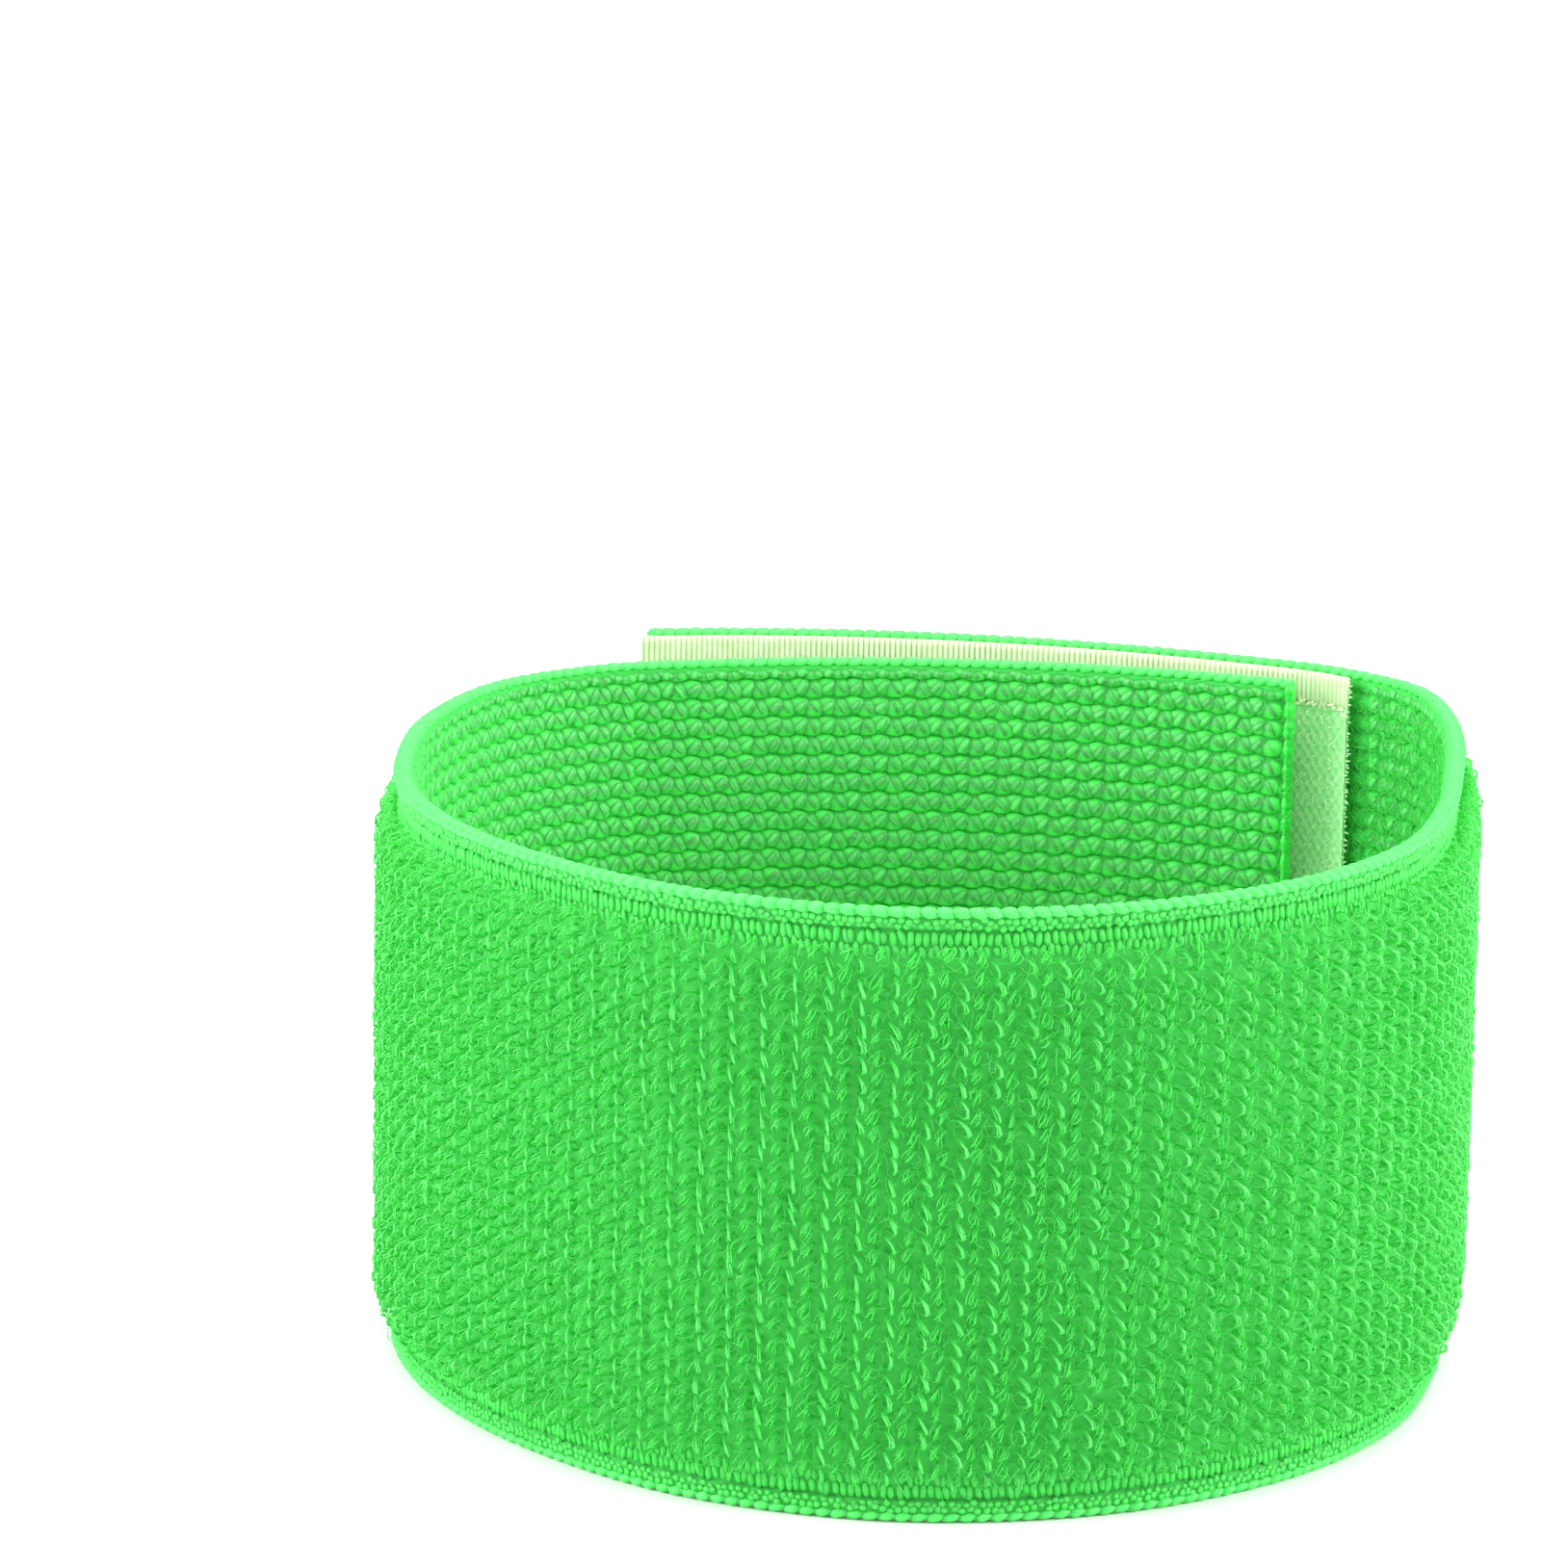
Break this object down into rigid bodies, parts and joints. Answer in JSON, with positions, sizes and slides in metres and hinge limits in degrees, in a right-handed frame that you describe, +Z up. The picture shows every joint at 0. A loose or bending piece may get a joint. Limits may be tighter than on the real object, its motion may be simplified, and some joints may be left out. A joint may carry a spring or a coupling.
{
  "type": "sports wristband",
  "caption": "Wide elastic sports band with a looped pile face, ribbed lining and corded edges, closed on itself by a hook-tape flap that peels open.",
  "frame": {"origin": "middle of the band's footprint, on the surface it stands on", "axes": "+Z up along the arm, +Y towards the closure at the back, +X to the side where the flap is rooted"},
  "size_m": [0.0962, 0.1106, 0.052],
  "materials": {
    "loop_pile": "bright green brushed nylon loop pile, matt, loops about 2 mm tall in columns",
    "rib_knit": "bright green knitted lengthwise ribs with slanting stitches, soft satin yarn",
    "edge_cord": "pale green knitted bead edge, slightly glossy where the yarn is tight",
    "sealed_end": "green yarn crushed and heat-sealed, firmer and a little glossier",
    "elastic": "off-white covered elastic threads, hidden inside the strap",
    "bond_film": "thin translucent hot-melt film, hidden",
    "hook_tape": "cream plain-woven nylon tape with a fine vertical rib",
    "hooks": "stiff cream monofilament hooks, slightly translucent"
  },
  "bodies": {
    "ring": {"inner_end_seal": "sealed_end", "ribbed_face_ring": "rib_knit", "elastic_core_ring": "elastic", "loop_pile_ring": "loop_pile", "lower_edge_cord_ring": "edge_cord", "upper_edge_cord_ring": "edge_cord"},
    "flap_1": {"ribbed_face_flap_1": "rib_knit", "elastic_core_flap_1": "elastic", "loop_pile_flap_1": "loop_pile", "lower_edge_cord_flap_1": "edge_cord", "upper_edge_cord_flap_1": "edge_cord", "bond_film_1": "bond_film", "hook_tape_1": "hook_tape", "hook_field_1": "hooks"},
    "flap_2": {"ribbed_face_flap_2": "rib_knit", "elastic_core_flap_2": "elastic", "loop_pile_flap_2": "loop_pile", "lower_edge_cord_flap_2": "edge_cord", "upper_edge_cord_flap_2": "edge_cord", "bond_film_2": "bond_film", "hook_tape_2": "hook_tape", "hook_field_2": "hooks"},
    "flap_3": {"ribbed_face_flap_3": "rib_knit", "elastic_core_flap_3": "elastic", "loop_pile_flap_3": "loop_pile", "lower_edge_cord_flap_3": "edge_cord", "upper_edge_cord_flap_3": "edge_cord", "bond_film_3": "bond_film", "hook_tape_3": "hook_tape", "hook_field_3": "hooks"},
    "flap_4": {"ribbed_face_flap_4": "rib_knit", "elastic_core_flap_4": "elastic", "loop_pile_flap_4": "loop_pile", "lower_edge_cord_flap_4": "edge_cord", "upper_edge_cord_flap_4": "edge_cord", "bond_film_4": "bond_film", "hook_tape_4": "hook_tape", "hook_field_4": "hooks", "outer_end_seal": "sealed_end"}
  },
  "joints": [
    {"name": "flap_peel", "type": "hinge", "parent": "ring", "child": "flap_1", "pos_m": [0.03911, 0.04245, 0.026], "axis": [0, 0, -1], "range_deg": [0, 28]},
    {"name": "flap_curl_2", "type": "hinge", "parent": "flap_1", "child": "flap_2", "pos_m": [0.0237, 0.04931, 0.026], "axis": [0, 0, -1], "range_deg": [0, 28]},
    {"name": "flap_curl_3", "type": "hinge", "parent": "flap_2", "child": "flap_3", "pos_m": [0.00697, 0.0524, 0.026], "axis": [0, 0, -1], "range_deg": [0, 28]},
    {"name": "flap_curl_4", "type": "hinge", "parent": "flap_3", "child": "flap_4", "pos_m": [-0.01005, 0.05218, 0.026], "axis": [0, 0, -1], "range_deg": [0, 28]}
  ],
  "couplings": [
    {"joint": "flap_curl_2", "follows": "flap_peel", "ratio": 1},
    {"joint": "flap_curl_3", "follows": "flap_peel", "ratio": 1},
    {"joint": "flap_curl_4", "follows": "flap_peel", "ratio": 1}
  ]
}
